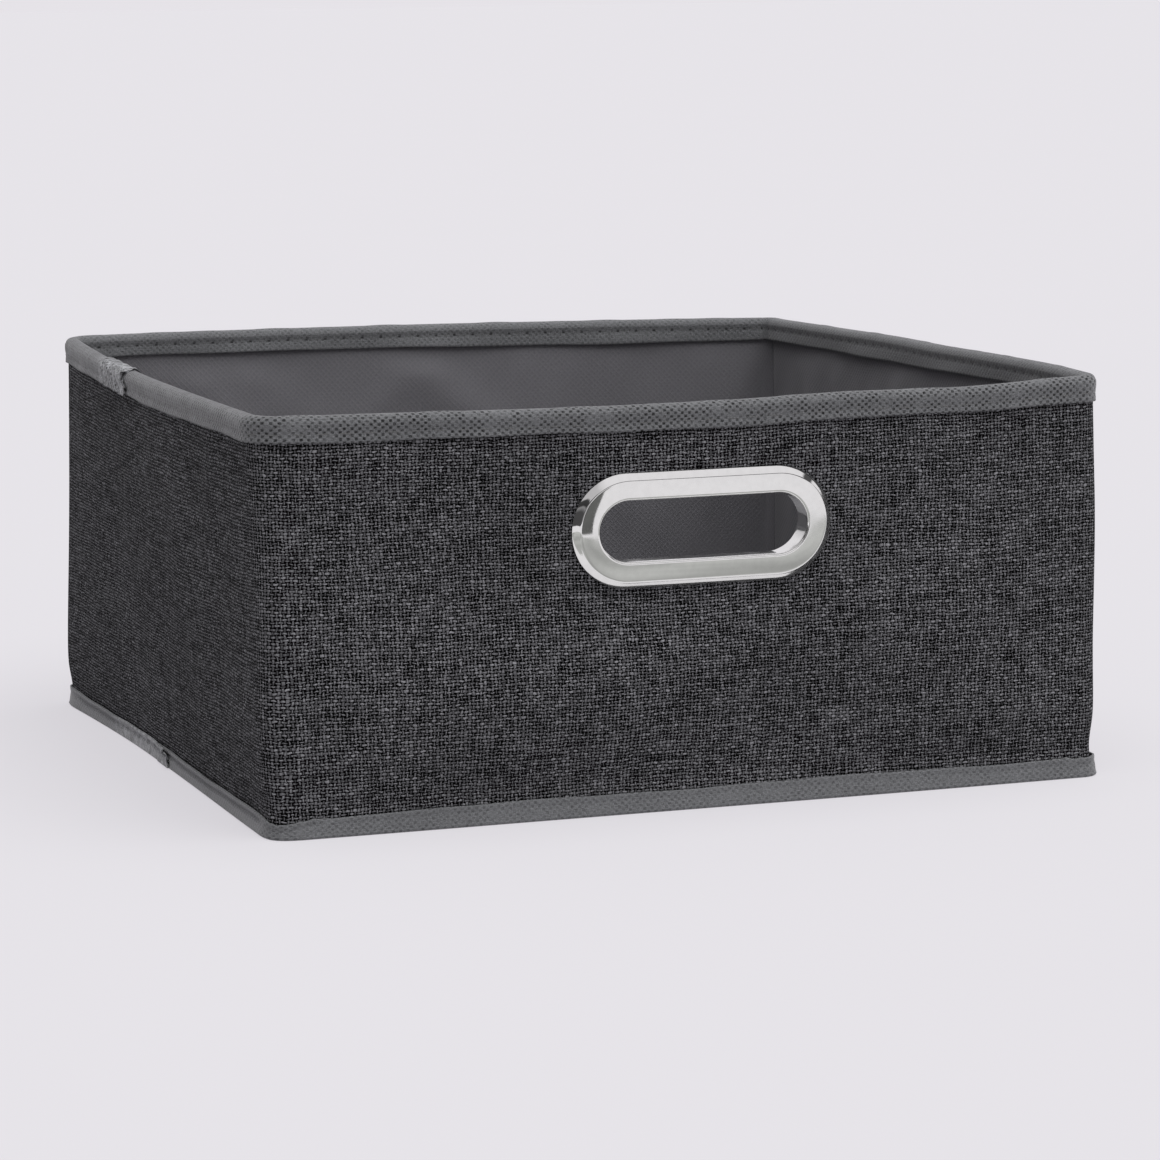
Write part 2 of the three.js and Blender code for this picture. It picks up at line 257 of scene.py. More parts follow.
def wave(s, z):
    """How far the walls stand out from their plain bowed shape."""
    out = np.zeros(np.broadcast(s, z).shape)
    for wall, share, height, half_length, half_height, lean, amount in SWELLS:
        along = lap(s, at(wall, share))
        up = z - height - lean * along
        out = out + amount * np.exp(-((along / half_length) ** 2) - (up / half_height) ** 2)
    turn = 2 * math.pi * s / ROUND
    out = out + 0.28 * np.sin(17 * turn + 0.7 + z / 31) + 0.18 * np.sin(29 * turn + 2.1 - z / 23)
    out = out * smooth(FLANGE_RADIUS, FLANGE_RADIUS + 18, from_handle(s, z))
    out = out * smooth(HEM_TAPE - 4, HEM_TAPE + 16, z) * smooth(HEIGHT, HEIGHT - 22, z)
    # The walls tuck in just above the hem, the front left corner sharpens downwards, and the
    # rear left one is rounded off at the floor.
    on_front = bump(s, at("front", 0.55), 130.0)
    tuck = (0.4 + 2.4 * on_front) * np.exp(-(((z - HEM_TAPE - 3) / 10.0) ** 2))
    point = 1.7 * bump(s, at("front_left", 0.5), 5.5) * smooth(130, 30, z)
    blunt = 1.8 * bump(s, at("rear_left", 0.5), 8.0) * smooth(18, 3, z)
    return out - tuck + point - blunt


def surface(s, z, inset=0.0, wavy=1.0, level=1.0):
    """Points of the wall stack in millimetres; the last axis is x, y, z."""
    s, z, inset = np.broadcast_arrays(*(np.asarray(v, float) for v in (s, z, inset)))
    x, y, nx, ny = plan(s)
    out = wavy * wave(s, z) - inset
    x, y = x - nx * out, y - ny * out
    u, v, rise = x / HALF_WIDTH, y / HALF_DEPTH, z / HEIGHT

    def between(foot, rim):
        return foot + (rim - foot) * rise

    def swell(side):
        return between(FOOT_SWELL[side], RIM_SWELL[side])

    sx = np.where(u < 0, swell("left"), swell("right"))
    sy = np.where(v < 0, swell("front"), swell("back"))
    front_lean = np.where(u < 0, between(*LEAN["front_left"]), between(*LEAN["front_right"]))
    rear_lean = np.where(u < 0, between(*LEAN["rear_left"]), between(*LEAN["rear_right"]))
    lean = np.where(v < 0, front_lean, rear_lean)
    x = x + u * (sx * (1 - v * v) + lean * v * v)
    y = y + v * (sy * (1 - u * u) - DEPTH_PULL * rise * u * u)
    lift = np.interp(np.mod(s, ROUND), *LEVELS, period=ROUND)
    z = z + level * lift * np.clip(rise, 0, 1) ** 2
    return np.stack([x, y, z], -1)


# ---------------- meshes

def make(name, points, faces, material, cloth=None, flat_faces=False):
    """An object from points in millimetres and index faces. cloth is a pattern coordinate in
    millimetres for every point, kept as an attribute for the materials."""
    mesh = bpy.data.meshes.new(name)
    mesh.from_pydata((np.asarray(points) * MM).tolist(), [], faces)
    if cloth is not None:
        layer = mesh.attributes.new("cloth", "FLOAT_VECTOR", "POINT")
        layer.data.foreach_set("vector", np.asarray(cloth, np.float32).ravel())
    if not flat_faces:
        mesh.polygons.foreach_set("use_smooth", np.ones(len(mesh.polygons), bool))
    mesh.materials.append(material)
    mesh.validate()
    mesh.update()
    obj = bpy.data.objects.new(name, mesh)
    bpy.context.scene.collection.objects.link(obj)
    return obj


def quads_of(keep):
    """Faces of a grid of points. keep says which of its squares there are."""
    rows = keep.shape[1] + 1
    i, j = np.nonzero(keep)
    a = i * rows + j
    return np.stack([a, a + rows, a + rows + 1, a + 1], -1)


def close_shell(faces, count):
    """Outer faces, the same faces reversed on the second set of points, and the edge between."""
    edges = np.concatenate([faces[:, [k, (k + 1) % 4]] for k in range(4)])
    key = np.sort(edges, 1)
    key = key[:, 0] * count + key[:, 1]
    _, first, seen = np.unique(key, return_index=True, return_counts=True)
    a, b = edges[first[seen == 1]].T
    side = np.stack([b, a, a + count, b + count], -1)
    return np.concatenate([faces, faces[:, ::-1] + count, side]).tolist()


def sheet_mesh(name, s, z, inset, thickness, material, hole):
    """A closed layer of the walls over the grid of s by z. inset may depend on both; hole leaves
    out what lies within that distance of the handle's middle line."""
    S, Z = np.meshgrid(s, z, indexing="ij")
    depth = inset(S, Z) if callable(inset) else inset
    mid_s, mid_z = (S[1:, 1:] + S[:-1, :-1]) / 2, (Z[1:, 1:] + Z[:-1, :-1]) / 2
    faces = quads_of(from_handle(mid_s, mid_z) > hole)
    outer = surface(S, Z, depth).reshape(-1, 3)
    inner = surface(S, Z, depth + thickness).reshape(-1, 3)
    used = np.unique(faces)
    index = np.full(S.size, -1)
    index[used] = np.arange(len(used))
    cloth = np.stack([S, Z, np.zeros(S.shape)], -1).reshape(-1, 3)[used]
    back = cloth + [0, 0, 1]
    shell = close_shell(index[faces], len(used))
    points = np.concatenate([outer[used], inner[used]])
    return make(name, points, shell, material, np.concatenate([cloth, back]))


def sweep_mesh(name, rings, material, cloth, closed=False):
    """A closed body through rings of points, each a closed loop."""
    count, size = rings.shape[:2]
    spans = count if closed else count - 1
    i, j = np.meshgrid(np.arange(spans), np.arange(size), indexing="ij")
    near, far = i * size, ((i + 1) % count) * size
    k = (j + 1) % size
    faces = np.stack([near + j, far + j, far + k, near + k], -1).reshape(-1, 4).tolist()
    if not closed:
        faces.append(list(range(size))[::-1])
        faces.append([(count - 1) * size + n for n in range(size)])
    obj = make(name, rings.reshape(-1, 3), faces, material, cloth.reshape(-1, 3))
    face_out(obj)
    return obj


def face_out(obj):
    """Turns a closed mesh's faces outward."""
    mesh = obj.data
    mesh.calc_loop_triangles()
    co = np.empty(len(mesh.vertices) * 3, np.float32)
    mesh.vertices.foreach_get("co", co)
    tris = np.empty(len(mesh.loop_triangles) * 3, np.int32)
    mesh.loop_triangles.foreach_get("vertices", tris)
    a, b, c = co.reshape(-1, 3)[tris].reshape(-1, 3, 3).transpose(1, 0, 2)
    if np.einsum("ij,ij->", a, np.cross(b, c)) < 0:
        mesh.flip_normals()


def thread_mesh(name, stitches, radius, material):
    """Short round threads; each stitch is a line of points, nowhere near upright."""
    sides = 6
    angles = 2 * math.pi * np.arange(sides)[:, None] / sides
    points, faces = [], []
    for line in stitches:
        along = np.gradient(line, axis=0)
        along /= np.linalg.norm(along, axis=1)[:, None]
        across = np.cross(along, [0, 0, 1.0])
        across /= np.linalg.norm(across, axis=1)[:, None]
        other = np.cross(along, across)
        taper = np.sin(np.linspace(0.25, math.pi - 0.25, len(line)))[:, None] ** 0.4
        base = len(points)
        for ring in range(len(line)):
            reach = across[ring] * np.cos(angles) + other[ring] * np.sin(angles)
            points.extend(line[ring] + reach * radius * taper[ring])
        for ring in range(len(line) - 1):
            for k in range(sides):
                a, b = base + ring * sides + k, base + ring * sides + (k + 1) % sides
                faces.append([a, b, b + sides, a + sides])
        faces.append([base + k for k in range(sides)][::-1])
        faces.append([base + (len(line) - 1) * sides + k for k in range(sides)])
    obj = make(name, points, faces, material)
    face_out(obj)
    return obj


# ---------------- materials

class Tree:
    """A node tree, with short ways to add to it."""

    def __init__(self, tree):
        self.nodes = tree.nodes
        self.links = tree.links

    def node(self, kind, **settings):
        made = self.nodes.new(kind)
        for key, value in settings.items():
            setattr(made, key, value)
        return made

    def feed(self, socket, value):
        if isinstance(value, bpy.types.NodeSocket):
            self.links.new(value, socket)
        else:
            socket.default_value = value

    def math(self, operation, *values):
        made = self.node("ShaderNodeMath", operation=operation)
        for socket, value in zip(made.inputs, values):
            self.feed(socket, value)
        return made.outputs[0]

    def add(self, a, b):
        return self.math("ADD", a, b)

    def sub(self, a, b):
        return self.math("SUBTRACT", a, b)

    def mul(self, a, b):
        return self.math("MULTIPLY", a, b)

    def ramp(self, value, low, high, to_low=0.0, to_high=1.0):
        made = self.node("ShaderNodeMapRange", interpolation_type="SMOOTHSTEP")
        for socket, number in zip(made.inputs, (value, low, high, to_low, to_high)):
            self.feed(socket, number)
        return made.outputs[0]

    def mix(self, factor, a, b):
        made = self.node("ShaderNodeMix", data_type="RGBA")
        self.feed(made.inputs["Factor"], factor)
        for socket, colour in ((made.inputs[6], a), (made.inputs[7], b)):
            self.feed(socket, colour if isinstance(colour, bpy.types.NodeSocket) else (*colour, 1))
        return made.outputs[2]

    def scale_colour(self, colour, factor):
        made = self.node("ShaderNodeVectorMath", operation="SCALE")
        self.feed(made.inputs[0], colour)
        self.feed(made.inputs["Scale"], factor)
        return made.outputs[0]

    def vector(self, x, y, z=0.0):
        made = self.node("ShaderNodeCombineXYZ")
        for socket, value in zip(made.inputs, (x, y, z)):
            self.feed(socket, value)
        return made.outputs[0]

    def cloth(self):
        """The pattern coordinates in millimetres. The third one is a tape's depth below the rim
    on the inside."""
        read = self.node("ShaderNodeAttribute", attribute_name="cloth")
        split = self.node("ShaderNodeSeparateXYZ")
        self.links.new(read.outputs["Vector"], split.inputs[0])
        return split.outputs

    def place(self):
        """The point itself, in metres."""
        return self.node("ShaderNodeTexCoord").outputs["Object"]

    def noise(self, vector, scale=1.0, detail=2.0, rough=0.5):
        made = self.node("ShaderNodeTexNoise")
        self.feed(made.inputs["Vector"], vector)
        for key, value in (("Scale", scale), ("Detail", detail), ("Roughness", rough)):
            made.inputs[key].default_value = value
        return made.outputs["Fac"]

    def dice(self, value):
        """A steady random number from 0 to 1 for each value."""
        made = self.node("ShaderNodeTexWhiteNoise", noise_dimensions="1D")
        self.feed(made.inputs["W"], value)
        return made.outputs["Value"]

    def bump(self, height, distance, strength):
        made = self.node("ShaderNodeBump")
        made.inputs["Strength"].default_value = strength
        made.inputs["Distance"].default_value = distance
        self.feed(made.inputs["Height"], height)
        return made.outputs["Normal"]


class Graph(Tree):
    """A material's node tree, with its Principled shader."""

    def __init__(self, name, roughness=0.8, metallic=0.0, sheen=0.0, specular=0.5):
        self.material = bpy.data.materials.new(name)
        self.material.use_nodes = True
        super().__init__(self.material.node_tree)
        self.shader = self.nodes["Principled BSDF"]
        for key, value in (("Roughness", roughness), ("Metallic", metallic),
                           ("Sheen Weight", sheen), ("Specular IOR Level", specular)):
            self.shader.inputs[key].default_value = value

    def finish(self, colour=None, normal=None, roughness=None):
        for name, value in (("Base Color", colour), ("Normal", normal), ("Roughness", roughness)):
            if value is not None:
                self.feed(self.shader.inputs[name], value)
        return self.material


def grey(value, tint=(1.0, 1.0, 1.0)):
    return tuple(value * t for t in tint)


COOL = (0.985, 0.985, 1.03)


def linen_material():
    """Plain weave of uneven two-tone yarns, with painted shade in the openings where four yarns
    meet and painted light on the yarns' crowns.
    """
    warp_pitch, weft_pitch = 1.36, 1.20
    g = Graph("charcoal_linen", roughness=0.95, specular=0.06)
    s, t, _ = g.cloth()
    where = g.vector(s, t)
    drift = g.sub(g.noise(where, scale=0.02, detail=2.0), 0.5)
    drift2 = g.sub(g.noise(g.vector(t, s, 7.0), scale=0.02, detail=2.0), 0.5)
    shake = g.sub(g.noise(g.vector(s, t, 21.0), scale=0.45, detail=1.0), 0.5)
    shake2 = g.sub(g.noise(g.vector(s, t, 33.0), scale=0.45, detail=1.0), 0.5)
    a = g.math("DIVIDE", g.add(s, g.add(g.mul(drift, 3.0), g.mul(shake, 1.3))), warp_pitch)
    b = g.math("DIVIDE", g.add(t, g.add(g.mul(drift2, 3.0), g.mul(shake2, 1.2))), weft_pitch)
    warp_number, weft_number = g.math("FLOOR", a), g.math("FLOOR", b)
    sin_a = g.math("SINE", g.mul(a, math.pi))
    sin_b = g.math("SINE", g.mul(b, math.pi))
    over = g.mul(sin_a, sin_b)
    # Thick and thin along each yarn, and the light and dark fibres in it.
    warp_slub = g.noise(g.vector(g.mul(warp_number, 3.7), g.mul(t, 0.12)), detail=2.0)
    weft_slub = g.noise(g.vector(g.mul(s, 0.09), g.mul(weft_number, 5.3), 3.0), detail=2.0)
    warp_fibre = g.noise(g.vector(g.mul(warp_number, 7.9), g.mul(t, 0.55), 5.0), detail=2.0)
    weft_fibre = g.noise(g.vector(g.mul(s, 0.50), g.mul(weft_number, 6.1), 9.0), detail=2.0)
    warp_edge = g.ramp(warp_slub, 0.30, 0.70, 0.74, 0.36)
    weft_edge = g.ramp(weft_slub, 0.30, 0.70, 0.72, 0.30)
    across_warp = g.ramp(g.sub(g.math("ABSOLUTE", sin_a), warp_edge), -0.06, 0.42)
    across_weft = g.ramp(g.sub(g.math("ABSOLUTE", sin_b), weft_edge), -0.06, 0.42)
    warp_height = g.mul(across_warp, g.add(g.mul(over, 0.40), 0.55))
    weft_height = g.mul(across_weft, g.sub(0.57, g.mul(over, 0.40)))
    height = g.math("MAXIMUM", warp_height, weft_height)
    weft_on_top = g.ramp(g.sub(weft_height, warp_height), -0.05, 0.08)
    warp_tone = g.add(
        g.mul(g.dice(warp_number), 0.25), g.ramp(warp_fibre, 0.36, 0.66, 0.0, 0.85))
    weft_tone = g.add(
        g.mul(g.dice(g.add(weft_number, 0.37)), 0.25), g.ramp(weft_fibre, 0.36, 0.64, 0.0, 0.90))
    warp_colour = g.mix(warp_tone, grey(0.048, COOL), grey(0.136, COOL))
    weft_colour = g.mix(weft_tone, grey(0.053, COOL), grey(0.160, COOL))
    colour = g.mix(weft_on_top, warp_colour, weft_colour)
    # Painted shade and light: the colour darkens down in the weave's hollows and brightens on the
    # yarns' crowns.
    painted_weave_shade = g.ramp(height, 0.22, 0.80, 0.0, 1.20)
    cloud = g.ramp(g.noise(where, scale=0.012, detail=2.0), 0.25, 0.75, 0.88, 1.12)
    each = g.ramp(g.dice(g.add(g.mul(warp_number, 17.13), g.mul(weft_number, 3.71))),
                  0.0, 1.0, 0.80, 1.20)
    tone = g.mul(g.mul(painted_weave_shade, cloud), each)
    return g.finish(g.scale_colour(colour, tone), g.bump(height, 0.00045, 0.7))


def tape_material(name, value, pit_depth_and_shade):
    """Non-woven tape of that grey, with offset rows of small dimples darkened by painted shade,
    and painted shade at the openings of its inside stitches. The last argument is how deep the
    dimples are and how much painted shade darkens them."""
    pitch, row_pair = 2.66, 2.34
    g = Graph(name, roughness=0.80, sheen=0.22, specular=0.22)
    s, t, drop = g.cloth()
    where = g.vector(s, t)
    wander = g.mul(g.sub(g.noise(where, scale=0.05, detail=1.0), 0.5), 1.2)
    a = g.math("DIVIDE", g.add(s, wander), pitch)
    b = g.math("DIVIDE", g.add(t, g.mul(wander, 0.4)), row_pair)
    lattice = g.mul(
        g.math("COSINE", g.mul(a, 2 * math.pi)), g.math("COSINE", g.mul(b, 2 * math.pi)))
    uneven = g.ramp(g.noise(g.vector(s, t, 5.0), scale=0.30, detail=2.0), 0.30, 0.60, 0.20, 1.0)
    outside = g.ramp(drop, -1.0, 1.0, 1.0, 0.35)
    pit = g.mul(g.mul(g.ramp(lattice, -0.15, 0.65), uneven), outside)
    fibre = g.noise(g.vector(g.mul(s, 0.5), g.mul(t, 2.0)), scale=1.2, detail=4.0, rough=0.7)
    cloud = g.noise(where, scale=0.03, detail=2.0)
    # Painted shade: the colour darkens where the inside stitches go through the tape, standing in
    # for the shaded needle openings.
    along = g.sub(g.math("FRACT", g.math("DIVIDE", s, STITCH_PITCH)), 0.5)
    hole = g.mul(
        g.ramp(g.math("ABSOLUTE", along), 0.03, 0.12, 1.0, 0.0),
        g.ramp(g.math("ABSOLUTE", g.sub(drop, INNER_STITCH)), 0.15, 0.60, 1.0, 0.0))
    speck = g.noise(g.vector(s, t, 11.0), scale=1.9, detail=3.0, rough=0.8)
    fleck = g.add(g.ramp(fibre, 0.3, 0.7, 0.72, 1.20), g.ramp(speck, 0.45, 0.68, -0.08, 0.42))
    # Painted shade: the dimples are darkened in colour as well as sunk by the bump.
    tone = g.sub(g.add(fleck, g.mul(g.sub(cloud, 0.5), 0.35)), g.mul(pit, 0.80 * pit_depth_and_shade))
    tone = g.mul(tone, g.sub(1.0, g.mul(hole, 0.8)))
    # The end of the tape is rubbed pale where it laps over its start.
    lapped = g.ramp(s, END_OF_TAPE - 60.0, END_OF_TAPE - 34.0)
    fuzz = g.ramp(g.noise(where, scale=0.28, detail=5.0, rough=0.7), 0.38, 0.62, 1.05, 2.5)
    tone = g.mul(tone, g.add(g.sub(1.0, lapped), g.mul(lapped, fuzz)))
    colour = g.scale_colour(grey(value, (0.97, 0.99, 1.02)), tone)
    height = g.sub(g.mul(fibre, 0.25), g.mul(pit, pit_depth_and_shade))
    return g.finish(colour, g.bump(height, 0.00035, 0.8))


def lining_material():
    """Non-woven lining with a fine diagonal emboss."""
    spacing = 1.69
    g = Graph("lining_nonwoven", roughness=0.62, sheen=0.15, specular=0.35)
    s, t, _ = g.cloth()
    where = g.vector(s, t)
    wander = g.mul(g.sub(g.noise(where, scale=0.04, detail=1.0), 0.5), 2.0)
    k = 2 * math.pi / (spacing * math.sqrt(2))
    rising = g.math("COSINE", g.mul(g.add(g.add(s, t), wander), k))
    falling = g.math("COSINE", g.mul(g.sub(g.sub(s, t), wander), k))
    emboss = g.ramp(g.math("MAXIMUM", rising, falling), 0.25, 1.0)
    fibre = g.noise(where, scale=1.1, detail=4.0, rough=0.7)
    cloud = g.noise(where, scale=0.014, detail=2.0)
    tone = g.add(g.ramp(fibre, 0.3, 0.7, 0.88, 1.10), g.mul(emboss, 0.10))
    tone = g.mul(tone, g.ramp(cloud, 0.3, 0.7, 0.95, 1.04))
    colour = g.scale_colour(grey(0.118, (0.98, 0.965, 1.03)), tone)
    height = g.add(g.mul(fibre, 0.35), g.mul(emboss, 0.5))
    rough = g.ramp(fibre, 0.3, 0.7, 0.56, 0.70)
    return g.finish(colour, g.bump(height, 0.0003, 0.55), rough)


def chrome_material():
    g = Graph("polished_chrome", roughness=0.07, metallic=1.0)
    smear = g.noise(g.place(), scale=38.0, detail=3.0)
    scratch = g.noise(g.place(), scale=420.0, detail=2.0)
    rough = g.ramp(smear, 0.35, 0.75, 0.045, 0.13)
    dents = g.noise(g.place(), scale=26.0, detail=0.5)
    normal = g.bump(dents, 0.0016, 0.35)
    tone = g.ramp(scratch, 0.3, 0.7, 0.96, 1.0)
    colour = g.scale_colour((0.90, 0.905, 0.875), tone)
    return g.finish(colour, normal, rough)


def chipboard_material():
    g = Graph("recycled_chipboard", roughness=0.9, specular=0.2)
    flecks = g.noise(g.place(), scale=900.0, detail=4.0, rough=0.8)
    cloud = g.noise(g.place(), scale=40.0, detail=2.0)
    colour = g.mix(g.ramp(flecks, 0.3, 0.7), (0.22, 0.19, 0.145), (0.36, 0.32, 0.26))
    colour = g.scale_colour(colour, g.ramp(cloud, 0.3, 0.7, 0.9, 1.1))
    return g.finish(colour, g.bump(flecks, 0.0003, 0.4))


def thread_material():
    g = Graph("sewing_thread", roughness=0.7, sheen=0.2, specular=0.3)
    twist = g.node("ShaderNodeTexWave", wave_type="BANDS", bands_direction="DIAGONAL")
    g.feed(twist.inputs["Vector"], g.place())
    twist.inputs["Scale"].default_value = 520.0
    colour = g.mix(twist.outputs["Fac"], grey(0.075), grey(0.115))
    return g.finish(colour, g.bump(twist.outputs["Fac"], 0.0001, 0.6))


LINEN = linen_material()
TAPE_FINISH = tape_material("binding_tape", 0.122, 1.0)
HEM_FINISH = tape_material("hem_tape", 0.121, 0.40)
LINING_FINISH = lining_material()
CHROME = chrome_material()
CHIPBOARD = chipboard_material()
THREAD = thread_material()


def grid(low, high, step):
    """Evenly spaced values from low to high, about step apart."""
    return np.linspace(low, high, max(2, int(round((high - low) / step)) + 1))


def place_piece(obj, body, slot, *nodes):
    """Gives a piece its body and hides the CAD nodes it replaces. slot is not used."""
    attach(obj, body)
    if nodes:
        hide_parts(*nodes)


# ---------------- outer fabric

STRIP_END = at("right", 1.0)
SEAM_GAP = 0.5


def seam_roll(s, low, high):
    """The cut edges roll inward where two panels meet."""
    edge = np.minimum(s - low, high - s)
    return 0.7 * np.exp(-((edge / 1.1) ** 2))


def fabric_inset(low, high):
    def inset(s, z):
        # Above the hem's front right corner the fabric rounds inward.
        curl = bump(s, at("front_right", 0.5), 9.0) * smooth(24, 9, z)
        return seam_roll(s, low, high) + 0.9 * curl * smooth(0, HEM_TAPE, z)
    return inset


def place_panel(obj, slot, node):
    """Places an upright panel in the bin and hides the CAD node it replaces."""
    place_piece(obj, BIN, slot, node)


def panel_columns(low, high):
    """Mesh columns of a panel, closer together at its two cut edges."""
    return np.concatenate([[low, low + 0.6, low + 1.2], grid(low + 2, high - 2, CLOTH_STEP),
                           [high - 1.2, high - 0.6, high]])


def fabric_panel(name, low, high, node, hole=NO_SLOT):
    z = grid(LAYER_BOTTOM, LAYER_TOP, CLOTH_STEP)
    obj = sheet_mesh(name, panel_columns(low, high), z, fabric_inset(low, high), FABRIC, LINEN,
                     hole)
    place_panel(obj, "outer_linen", node)


def lining_panel(name, low, high, node, hole=NO_SLOT):
    """The lining closes on the fabric below the boards, and wrinkles a little above them."""
    def inset(s, z):
        rise = smooth(BOARD_BOTTOM - 3.4, BOARD_BOTTOM - 0.3, z)
        plain = HEM_LINING_INSET + (LINING_INSET - HEM_LINING_INSET) * rise
        return plain - seam_roll(s, low, high) + lining_wrinkle(s, z)

    z = np.concatenate([grid(LAYER_BOTTOM, BOARD_BOTTOM - 4, CLOTH_STEP),
                        grid(BOARD_BOTTOM - 3.4, BOARD_BOTTOM, 0.6),
                        grid(BOARD_BOTTOM + 2, LAYER_TOP, CLOTH_STEP)])
    obj = sheet_mesh(name, panel_columns(low, high), z, inset, LINING, LINING_FINISH, hole)
    place_panel(obj, "lining", node)


# Wrinkles of the lining: wall, share along, height, half width, half length, climb, depth.
WRINKLES = [
    ("back", 0.78, 108, 9, 46, 0.9, 1.5), ("back", 0.70, 112, 11, 40, 0.9, 1.2),
    ("back", 0.44, 110, 10, 42, 0.8, 1.4), ("back", 0.56, 118, 6, 20, -0.7, 0.5),
    ("back", 0.22, 70, 12, 50, 0.7, 0.7), ("back", 0.62, 48, 12, 44, -0.5, 0.7),
    ("right", 0.86, 112, 7, 34, 2.2, 1.0), ("right", 0.74, 108, 7, 36, 1.8, 0.9),
    ("right", 0.62, 104, 9, 38, -1.6, 0.8), ("right", 0.45, 60, 10, 44, 1.2, 0.8),
    ("left", 0.30, 90, 10, 44, 1.4, 0.8), ("left", 0.66, 70, 10, 40, -1.1, 0.8),
    ("front", 0.15, 70, 10, 40, 1.0, 0.7), ("front", 0.86, 64, 10, 40, -0.9, 0.7),
]


def lining_wrinkle(s, z):
    """Folds that stand in from the boards, and a fine pucker."""
    depth = np.zeros(s.shape)
    for wall, share, height, half_width, half_length, climb, amount in WRINKLES:
        along, up = lap(s, at(wall, share)), z - height
        size = math.hypot(1, climb)
        across = (climb * along - up) / size
        down = (along + climb * up) / size
        depth = depth + amount * np.exp(-((across / half_width) ** 2) - (down / half_length) ** 2)
    turn = 2 * math.pi * s / ROUND
    depth = depth + 0.12 * (1 + np.sin(61 * turn + z / 9)) * smooth(20, 60, z)
    clear = smooth(FLANGE_RADIUS, FLANGE_RADIUS + 14, from_handle(s, z))
    return depth * clear * smooth(BOARD_BOTTOM, BOARD_BOTTOM + 12, z) * smooth(
        HEIGHT - RIM_TAPE - 1, HEIGHT - RIM_TAPE - 12, z)


fabric_panel("linen_front_sides", 0.0, STRIP_END, "outer_fabric_front_sides", SLOT_RADIUS)
fabric_panel("linen_back", STRIP_END + SEAM_GAP, ROUND - SEAM_GAP, "outer_fabric_back")
lining_panel("lining_wrap", 0.0, STRIP_END, "lining_front_sides", SLOT_RADIUS)
lining_panel("lining_rear", STRIP_END + SEAM_GAP, ROUND - SEAM_GAP, "lining_back")

# ---------------- stiffener boards

CREASE_HALF = 0.9       # half the gap between the two boards of a side wall
BOARD_STEP = 6.0


def board_piece(name, node, low, high, hole=NO_SLOT):
    """One stiffener board, meshed more finely where the handle's slot goes through."""
    step = BOARD_STEP if hole == NO_SLOT else CLOTH_STEP
    s, z = grid(low, high, step), grid(BOARD_BOTTOM, LAYER_TOP, step)
    obj = sheet_mesh(name, s, z, BOARD_INSET, BOARD, CHIPBOARD, hole)
    place_piece(obj, BIN, "chipboard", node)


board_piece("stiffener_front", "front_board", at("front", 0), at("front", 1), SLOT_RADIUS + 0.6)
board_piece("stiffener_back", "back_board", at("back", 0), at("back", 1))
for side, first, second in (("right", "front", "rear"), ("left", "rear", "front")):
    middle = at(side, 0.5)
    board_piece(f"stiffener_{side}_{first}", f"{side}_board_{first}",
                at(side, 0), middle - CREASE_HALF)
    board_piece(f"stiffener_{side}_{second}", f"{side}_board_{second}",
                middle + CREASE_HALF, at(side, 1))

# ---------------- bindings


def folded(outside, thickness):
    """A closed tape section from its outer skin: (rings, points, 2) to twice as many points."""
    along = np.gradient(outside, axis=1)
    along /= np.linalg.norm(along, axis=2)[..., None]
    normal = np.stack([-along[..., 1], along[..., 0]], -1)
    return np.concatenate([outside, (outside - normal * thickness)[:, ::-1]], 1)


def there_and_back(values):
    """The values along the outer skin, then again backwards for the inner one."""
    return np.concatenate([values, values[..., ::-1]], -1)


def tape_mesh(name, s, section, material, ragged=0.0):
    """A folded tape along s. section is (stations, points, 2) of inset and height; ragged is
    how unevenly its far end is cut."""
    S = np.repeat(s[:, None], section.shape[1], 1)
    half = section.shape[1] // 2
    cut = np.sin(np.arange(half) * 0.55) + 0.5 * np.sin(np.arange(half) * 1.7)
    S = S + ragged * there_and_back(cut) * smooth(s[-1] - 8, s[-1], s)[:, None]
    rings = surface(S, section[..., 1], section[..., 0])
    run = np.linalg.norm(np.diff(section[:, :half], axis=1), axis=2).mean(0)
    arc = there_and_back(np.concatenate([[0], np.cumsum(run)]))
    inside = section[..., 0] > WALL / 2
    drop = np.where(inside, HEIGHT - section[..., 1], -9.0)
    cloth = np.stack([S, np.broadcast_to(arc, S.shape), drop], -1)
    return sweep_mesh(name, rings, material, cloth)


def place_tape(obj, node):
    """Places a folded tape in the bin and hides the CAD node it replaces."""
    place_piece(obj, BIN, "binding", node)


def rounded(edge, radius, drop, angles, s):
    """Section rows round a corner. A negative radius turns the other way."""
    return [(edge + radius * (1 - math.cos(angle)) + 0 * s, drop * (1 - math.sin(angle)) + 0 * s)
            for angle in angles]


def skin_of(rows, lift):
    """A tape's outer skin from its section rows, both its legs standing off by lift."""
    skin = np.array(rows).transpose(2, 0, 1)
    skin[..., 0] -= lift[:, None] * np.sign(0.5 - np.linspace(0, 1, skin.shape[1]))
    return skin


def pucker(s):
    """Dents where the thread goes in."""
    phase = np.mod(s, STITCH_PITCH) - STITCH_PITCH / 2
    return np.exp(-((phase / 1.1) ** 2))


